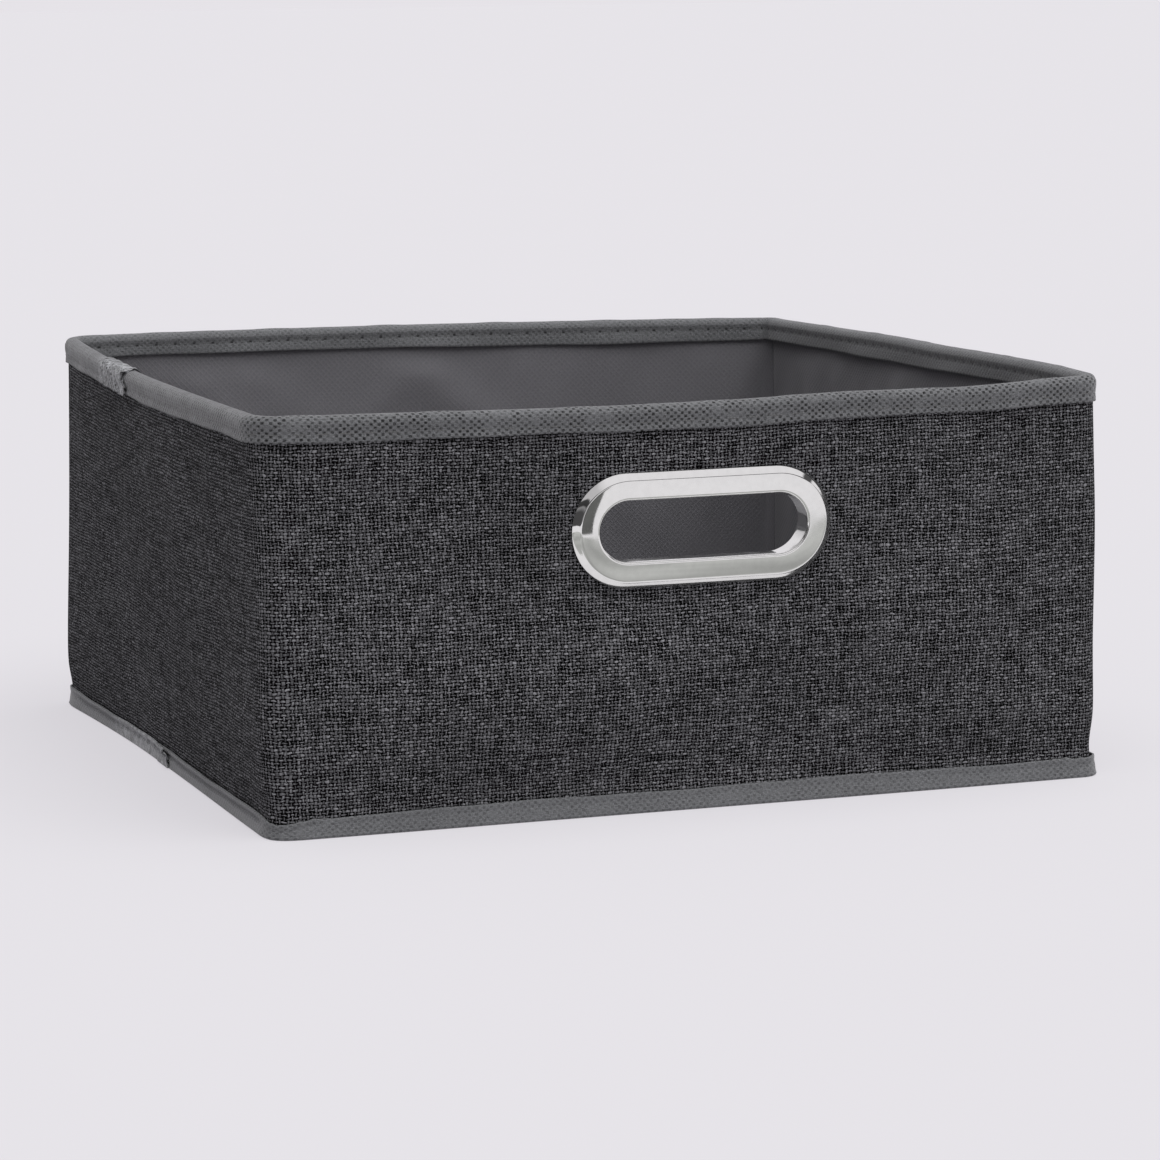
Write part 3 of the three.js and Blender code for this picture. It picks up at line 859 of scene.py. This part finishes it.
def rim_section(s, lift):
    """The rim tape's outer skin at every station: down the outside, over, down the inside."""
    legs = np.linspace(0, 1, 10)
    shoulder = np.linspace(0, math.pi / 2, 7)[1:-1]
    radius = 2.3
    outer, inner = -TAPE_PROUD, WALL + TAPE_PROUD
    down_out = RIM_TAPE - 0.2 + 0.3 * np.sin(s / 23) + 0.15 * np.sin(s / 7.3)
    down_in = RIM_TAPE + 0.2 + 0.35 * np.sin(s / 31 + 1.2) + 0.12 * np.sin(s / 9.1)
    down_in -= 1.4 * bump(s, at("back", 0.9), 75.0)
    rows = []
    for t in legs:
        drop = down_out + (radius - down_out) * t
        puff = 0.28 * np.sin(np.pi * np.clip(drop / OUTER_STITCH, 0, 1))
        pinch = 0.20 * np.exp(-(((drop - OUTER_STITCH) / 0.9) ** 2)) * (0.5 + 0.5 * pucker(s))
        flare = 0.22 * np.clip((drop - OUTER_STITCH) / 3, 0, 1) * (1 + np.sin(s / 11))
        rows.append((outer - puff + pinch - flare, -drop))
    rows += rounded(outer, radius, -radius, shoulder, s)
    for t in np.linspace(0, 1, 4):
        level = 0.22 * np.sin(s / 5.1) * np.sin(s / 17.7)
        rows.append((outer + radius + (inner - outer - 2 * radius) * t + 0 * s, level))
    rows += rounded(inner, -radius, -radius, shoulder[::-1], s)
    for t in legs:
        drop = radius + (down_in - radius) * t
        puff = 0.25 * np.sin(np.pi * np.clip(drop / INNER_STITCH, 0, 1))
        pinch = 0.34 * np.exp(-(((drop - INNER_STITCH) / 0.9) ** 2)) * (0.2 + 0.8 * pucker(s))
        flare = 0.30 * np.clip((drop - INNER_STITCH) / 4, 0, 1) * (1 + np.sin(s / 13 + 2))
        rows.append((inner + puff - pinch + flare, -drop))
    skin = skin_of(rows, lift)
    skin[..., 1] += HEIGHT + 0.6 * lift[:, None]
    return folded(skin, TAPE)


def rim_tape():
    s = grid(RIM_JOIN, RIM_JOIN + ROUND + RIM_OVERLAP, 1.0)
    over = smooth(ROUND - 6, ROUND + 3, s - RIM_JOIN)
    section = rim_section(s, 0.75 * over)
    # The lapped end is lumpy and ragged.
    k = np.arange(section.shape[1] // 2)
    lump = np.sin(s[:, None] / 1.3 + k / 2.1) * np.sin(s[:, None] / 2.9 - k / 3.3)
    lump = there_and_back(lump)
    section[..., 1] += 0.55 * over[:, None] * lump
    section[..., 0] -= 0.35 * over[:, None] * lump
    obj = tape_mesh("rim_tape", s, section, TAPE_FINISH, 2.4)
    place_tape(obj, "rim_binding")


def hem_section(s, lift):
    """The hem tape's outer skin: down the outside, under, and up the inside."""
    along_front, place = lap(s, START["front"]), np.mod(s, ROUND)
    at_corner = bump(s, at("front_left", 0.5), 6.5)
    at_corner += 0.35 * smooth(26, 2, along_front) * smooth(-12, 0, along_front)
    corner = START["front_left"]
    on_left = smooth(4, 30, place) * smooth(corner + 4, corner - 6, place)
    top = HEM_TAPE - 1.9 * at_corner + 0.25 * np.sin(s / 19) + 0.12 * np.sin(s / 6.1)
    foot = 0.6 + 0.25 * np.sin(s / 37)
    outer, inner = 0.35 - TAPE_PROUD, WALL - 0.2
    radius = 1.3
    rows = []
    for t in np.linspace(0, 1, 12):
        z = top + (radius - top) * t
        lean = (foot - 0.2) * np.clip(1 - z / HEM_TAPE, 0, 1) ** 1.3
        bead = (0.16 + 0.55 * on_left) * np.exp(-(((z - top + 0.9) / 0.75) ** 2))
        groove = (0.10 + 0.35 * on_left) * np.exp(-(((z - top + 2.5) / 0.7) ** 2))
        rows.append((outer - lean - bead + groove, z))
    quarter = np.linspace(0, math.pi / 2, 5)
    rows += rounded(outer - foot, radius, radius, quarter[1:], s)
    rows += rounded(inner, -radius, radius, quarter[:0:-1], s)
    for t in np.linspace(0, 1, 6):
        rows.append((inner + 0 * s, radius + (HEM_TAPE - radius) * t + 0 * s))
    skin = skin_of(rows, lift)
    # The tape crumples where it turns the front corners.
    crumpled = bump(s, START["front"] + 3, 6.0) + bump(s, START["front_right"] - 2, 8.0)
    k = np.arange(12)
    lump = np.sin(s[:, None] / 1.25 + k / 1.7) * np.sin(s[:, None] / 2.3 - k / 2.6 + 1)
    skin[:, :12, 0] -= 0.55 * crumpled[:, None] * lump * (1 - k / 16)
    skin[:, :5, 1] += 0.5 * crumpled[:, None] * lump[:, :5]
    skin[..., 1] = np.maximum(skin[..., 1], 0)
    section = folded(skin, -TAPE)
    section[..., 1] = np.maximum(section[..., 1], 0)
    return section


def hem_tape():
    s = grid(HEM_JOIN, HEM_JOIN + ROUND + HEM_OVERLAP, 1.2)
    lift = 0.7 * smooth(ROUND - 5, ROUND + 2, s - HEM_JOIN)
    section = hem_section(s, lift)
    # The top corner of its end peels away from the fabric.
    peel = smooth(s[-1] - 7, s[-1], s)[:, None] * np.linspace(1, 0, 12) ** 1.5
    section[:, :12, 0] -= 2.2 * peel
    section[:, -12:, 0] -= 2.2 * peel[:, ::-1]
    obj = tape_mesh("hem_tape", s, section, HEM_FINISH)
    place_tape(obj, "hem_binding")


def stitch_line(name, z, inset, rise):
    """A running stitch round the rim, of round threads that arch out of the cloth."""
    half_gap = (STITCH_PITCH - STITCH) / 2
    s_from, s_to = half_gap - STITCH_PITCH / 2, ROUND + half_gap - 6.0
    lines = []
    for start in np.arange(s_from, s_to - STITCH, STITCH_PITCH):
        t = np.linspace(0, 1, 9)
        arch = np.sin(np.pi * t) ** 0.5
        lines.append(surface(start + STITCH * t, z, inset - rise * arch))
    place_piece(thread_mesh(name, lines, THREAD_RADIUS, THREAD), BIN, "binding")


rim_tape()
hem_tape()
stitch_line("rim_stitches_outside", HEIGHT - OUTER_STITCH, -TAPE_PROUD + 0.40, 0.22)
stitch_line("rim_stitches_inside", HEIGHT - INNER_STITCH, WALL + TAPE_PROUD - 0.5, -0.25)

# ---------------- handle


def stadium(ends=40, straights=16):
    """x and outward direction round the eyelet's middle line."""
    rows = []
    for side in (1, -1):
        for angle in np.linspace(-math.pi / 2, math.pi / 2, ends, endpoint=False):
            turned = angle if side > 0 else angle + math.pi
            rows.append((side * HALF_STRAIGHT, math.cos(turned), math.sin(turned)))
        for x in np.linspace(side * HALF_STRAIGHT, -side * HALF_STRAIGHT, straights,
                             endpoint=False):
            rows.append((x, 0.0, float(side)))
    return np.array(rows)


def eyelet(name, profile, node):
    """A ring of the profile, (radius, inset) pairs, round the stadium."""
    path = stadium()
    profile = np.array(profile)
    x = HANDLE_X + path[:, :1] + path[:, 1:2] * profile[None, :, 0]
    z = HANDLE_Z + path[:, 2:3] * profile[None, :, 0]
    inset = np.broadcast_to(profile[None, :, 1], x.shape)
    rings = surface(front_s(x), z, inset, wavy=0.0, level=0.0)
    obj = sweep_mesh(name, rings, CHROME, rings, closed=True)
    place_piece(obj, BIN, "chrome", node)


def arc(cx, cy, radius, start, end, count):
    """Points of a circle in the profile's plane, angles in degrees."""
    angles = np.radians(np.linspace(start, end, count))
    return [(cx + radius * math.cos(a), cy + radius * math.sin(a)) for a in angles]


def front_ring():
    edge = FLANGE_RADIUS
    lip = OPENING_RADIUS
    profile = [(edge - 0.5, -0.25)]
    profile += arc(edge - 0.45, -0.7, 0.45, 60, -40, 6)
    profile += [(edge - 0.55, -1.35), (edge - 1.1, -1.95), (edge - 1.9, -2.4)]
    profile += arc(edge - 3.4, -1.1, 2.0, -50, -84, 5)
    profile += [(lip + 3.4, -3.25)]
    profile += arc(lip + 1.0, -2.4, 1.0, -88, -180, 15)
    profile += [(lip, 0.5), (lip, WALL + 1.0)]
    profile += arc(lip + 0.9, WALL + 2.1, 0.9, 180, 90, 5)
    profile += arc(lip + 1.6, WALL + 2.1, 0.9, 90, 0, 4)
    profile += [(lip + 2.5, WALL + 1.75), (lip + 0.8, WALL + 1.75), (lip + 0.8, -0.25)]
    eyelet("eyelet_front", profile, "handle_ring_front")


def back_ring():
    low, high = OPENING_RADIUS + 1.1, 18.5
    top, bottom = WALL + 1.5, WALL + 0.3
    profile = [(low, bottom), (high - 0.3, bottom)]
    profile += arc(high - 0.5, bottom + 0.5, 0.5, -60, 60, 5)
    profile += [(high - 2.0, top - 0.05), (low + 2.4, top), (low, top)]
    eyelet("eyelet_back", profile, "handle_ring_back")


front_ring()
back_ring()

# ---------------- base fabric and insert


def base_piece():
    """A panel across the bottom, its edge turned down into the hem."""
    s = grid(0, ROUND, 4.0)[:-1]
    edge = 2.0
    top, bottom = base_high[2], base_low[2]
    shares = np.linspace(0.04, 1.0, 34)
    rings = []

    def ring(share, z, inset):
        points = surface(s, z, inset)
        points[:, :2] *= share
        dish = 0.9 * math.cos(share * math.pi / 2) * np.ones(len(s))
        ripple = 0.35 * np.sin(points[:, 0] / 19) * np.sin(points[:, 1] / 23) * (share < 0.99)
        points[:, 2] -= dish + np.abs(ripple)
        return points

    for share in shares:
        rings.append(ring(share, top, edge))
    for z in np.linspace(top - 0.4, bottom, 5):
        rings.append(surface(s, z, edge - 0.1))
    for z in np.linspace(bottom, top - 1.0, 5):
        rings.append(surface(s, z, edge + 0.5))
    for share in shares[::-1]:
        rings.append(ring(share * 0.9965, top - 0.6, edge))
    rings = np.array(rings)
    cloth = np.concatenate([rings[..., :2], np.zeros(rings.shape[:2] + (1,))], -1)
    obj = sweep_mesh("base_panel", rings, LINING_FINISH, cloth)
    place_piece(obj, BIN, "lining", "base_fabric")


def insert_sleeve():
    """The fabric sleeve over the loose base board: closed in front, open at the rear edge."""
    width = cover_high[0] - cover_low[0]
    half, front, rear = width / 2, cover_low[1], cover_high[1]
    middle = (cover_low[2] + cover_high[2]) / 2
    thick = (cover_high[2] - cover_low[2]) / 2
    corner = 12.0

    def loop(y, inset):
        """One closed cross-section at y; inset takes it inside the cloth."""
        from_front = y - front
        pull = corner - math.sqrt(corner ** 2 - max(corner - from_front, 0) ** 2)
        reach = half - pull - inset
        flat = max(thick * min(1.0, math.sqrt(from_front / 2.0) * 0.9 + 0.1) - inset, 0.12)
        x = np.linspace(-reach + flat, reach - flat, 74)
        side = np.linspace(-math.pi / 2, math.pi / 2, 7)[1:-1]
        top = np.stack([x[::-1], np.full(x.shape, flat)], -1)
        bottom = np.stack([x, np.full(x.shape, -flat)], -1)
        right = np.stack([reach - flat + flat * np.cos(side), flat * np.sin(side)], -1)
        left = np.stack([-reach + flat - flat * np.cos(side), -flat * np.sin(side)], -1)
        section = np.concatenate([bottom, right, top, left])
        ripple = 0.16 * np.sin(section[:, 0] / 13 + y / 21) * np.sin(y / 17) * (inset == 0)
        z = middle + section[:, 1] + ripple * (section[:, 1] > 0)
        return np.stack([section[:, 0], np.full(len(z), y), z], -1)

    fine = np.array([0.0, 0.3, 0.8, 1.5, 2.5, 4.0, 6.0, 8.5, 12.0])
    along = np.concatenate([front + fine, grid(front + 16, rear, 4.0)])
    outer = [loop(y, 0.0) for y in along]
    inner = [loop(y, LINING) for y in along[::-1] if y > front + 0.6]
    inner[0][:, 1] = rear
    rings = np.array(outer + inner)
    cloth = np.stack([rings[..., 0], rings[..., 1] + 0.6 * (rings[..., 2] - middle),
                      np.zeros(rings.shape[:2])], -1)
    obj = sweep_mesh("insert_sleeve", rings, LINING_FINISH, cloth)
    place_piece(obj, INSERT, "lining", "insert_cover")


base_piece()
insert_sleeve()
insert_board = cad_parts["insert_board"]
insert_board.data.materials.clear()
insert_board.data.materials.append(CHIPBOARD)

# ---------------- floor, light and camera

SURROUND = (0.79, 0.768, 0.806)
FLOOR_GLOW = (0.552, 0.535, 0.568)
FLOOR_GREY = 0.15
FLOOR_REACH = 60000.0


def stage_floor():
    """A pale floor that glows a little, so that shadows on it stay light."""
    g = Graph("studio_floor", roughness=0.95, specular=0.0)
    speckle = g.noise(g.place(), scale=3.0, detail=2.0)
    colour = g.scale_colour(grey(FLOOR_GREY), g.ramp(speckle, 0.3, 0.7, 0.998, 1.002))
    g.shader.inputs["Emission Color"].default_value = (*FLOOR_GLOW, 1)
    g.shader.inputs["Emission Strength"].default_value = 1.0
    signs = [(-1, -1), (1, -1), (1, 1), (-1, 1)]
    corners = [(x * FLOOR_REACH, y * FLOOR_REACH, 0) for x, y in signs]
    floor = make("floor", corners, [[0, 1, 2, 3]], g.finish(colour), flat_faces=True)


def mirror_card(name, corners, value):
    """A card of that brightness which only the metal mirrors, as a studio's dark flags are."""
    g = Graph(name + "_grey", roughness=1.0, specular=0.0)
    speckle = g.noise(g.place(), scale=5.0, detail=2.0)
    g.shader.inputs["Emission Strength"].default_value = value
    g.feed(g.shader.inputs["Emission Color"],
           g.scale_colour((1.0, 1.0, 1.0), g.ramp(speckle, 0.3, 0.7, 0.75, 1.25)))
    card = make(name, corners, [[0, 1, 2, 3]], g.finish((0.0, 0.0, 0.0, 1.0)), flat_faces=True)
    card.visible_camera = False
    card.visible_diffuse = False
    card.visible_shadow = False
    card.visible_transmission = False


def sun(name, azimuth, elevation, strength, spread):
    """A soft distant lamp. Azimuth 0 shines from the front, 90 from the right."""
    light = bpy.data.lights.new(name, "SUN")
    light.energy = strength
    light.angle = math.radians(spread)
    lamp = bpy.data.objects.new(name, light)
    a, e = math.radians(azimuth), math.radians(elevation)
    toward = Vector((math.sin(a) * math.cos(e), -math.cos(a) * math.cos(e), math.sin(e)))
    lamp.rotation_euler = toward.to_track_quat("Z", "Y").to_euler()
    lamp.visible_glossy = False
    bpy.context.scene.collection.objects.link(lamp)


def studio_world():
    """An even pale surround, with dark flags low on the left and in a band above."""
    world = bpy.data.worlds.new("studio")
    world.use_nodes = True
    g = Tree(world.node_tree)
    split = g.node("ShaderNodeSeparateXYZ")
    g.feed(split.inputs[0], g.node("ShaderNodeTexCoord").outputs["Generated"])
    x, z = split.outputs["X"], split.outputs["Z"]
    left_flag = g.ramp(x, -0.75, -0.15, 0.08, 1.0)
    above_flag = g.ramp(z, 0.22, 0.60, 0.0, 0.65)
    strip = g.ramp(g.math("ABSOLUTE", g.sub(z, 0.50)), 0.05, 0.10, 0.10, 1.0)
    shade = g.mul(g.math("MAXIMUM", left_flag, above_flag), strip)
    background = g.nodes["Background"]
    g.feed(background.inputs["Color"], g.scale_colour(SURROUND, shade))
    background.inputs["Strength"].default_value = 1.0
    bpy.context.scene.world = world


def camera():
    """The viewpoint: a long lens from the front left, a little above the rim."""
    place = Vector((-0.506, -1.512, 0.287))
    azimuth, pitch, roll = (math.radians(v) for v in (-18.9, 8.07, -0.74))
    back = Vector((math.sin(azimuth) * math.cos(pitch), -math.cos(azimuth) * math.cos(pitch),
                   math.sin(pitch)))
    right = (-back).cross(Vector((0, 0, 1))).normalized()
    up = right.cross(-back)
    right, up = (right * math.cos(roll) + up * math.sin(roll),
                 up * math.cos(roll) - right * math.sin(roll))
    data = bpy.data.cameras.new("camera")
    data.lens = 130.15
    data.sensor_width = 36.0
    data.clip_end = 100000.0
    obj = bpy.data.objects.new("camera", data)
    turn = Matrix((right, up, back)).transposed().to_4x4()
    obj.matrix_world = Matrix.Translation(place) @ turn
    bpy.context.scene.collection.objects.link(obj)
    bpy.context.scene.camera = obj


stage_floor()
mirror_card("floor_card", [(-700, -620, 1), (700, -620, 1), (700, -225, 1), (-700, -225, 1)],
            0.43)
mirror_card("lens_card", [(-190, -640, 5), (60, -640, 5), (40, -640, 240), (-210, -640, 240)],
            0.10)
studio_world()
sun("key", 20, 72, 3.4, 70)
camera()
bpy.context.scene.view_settings.view_transform = "Standard"
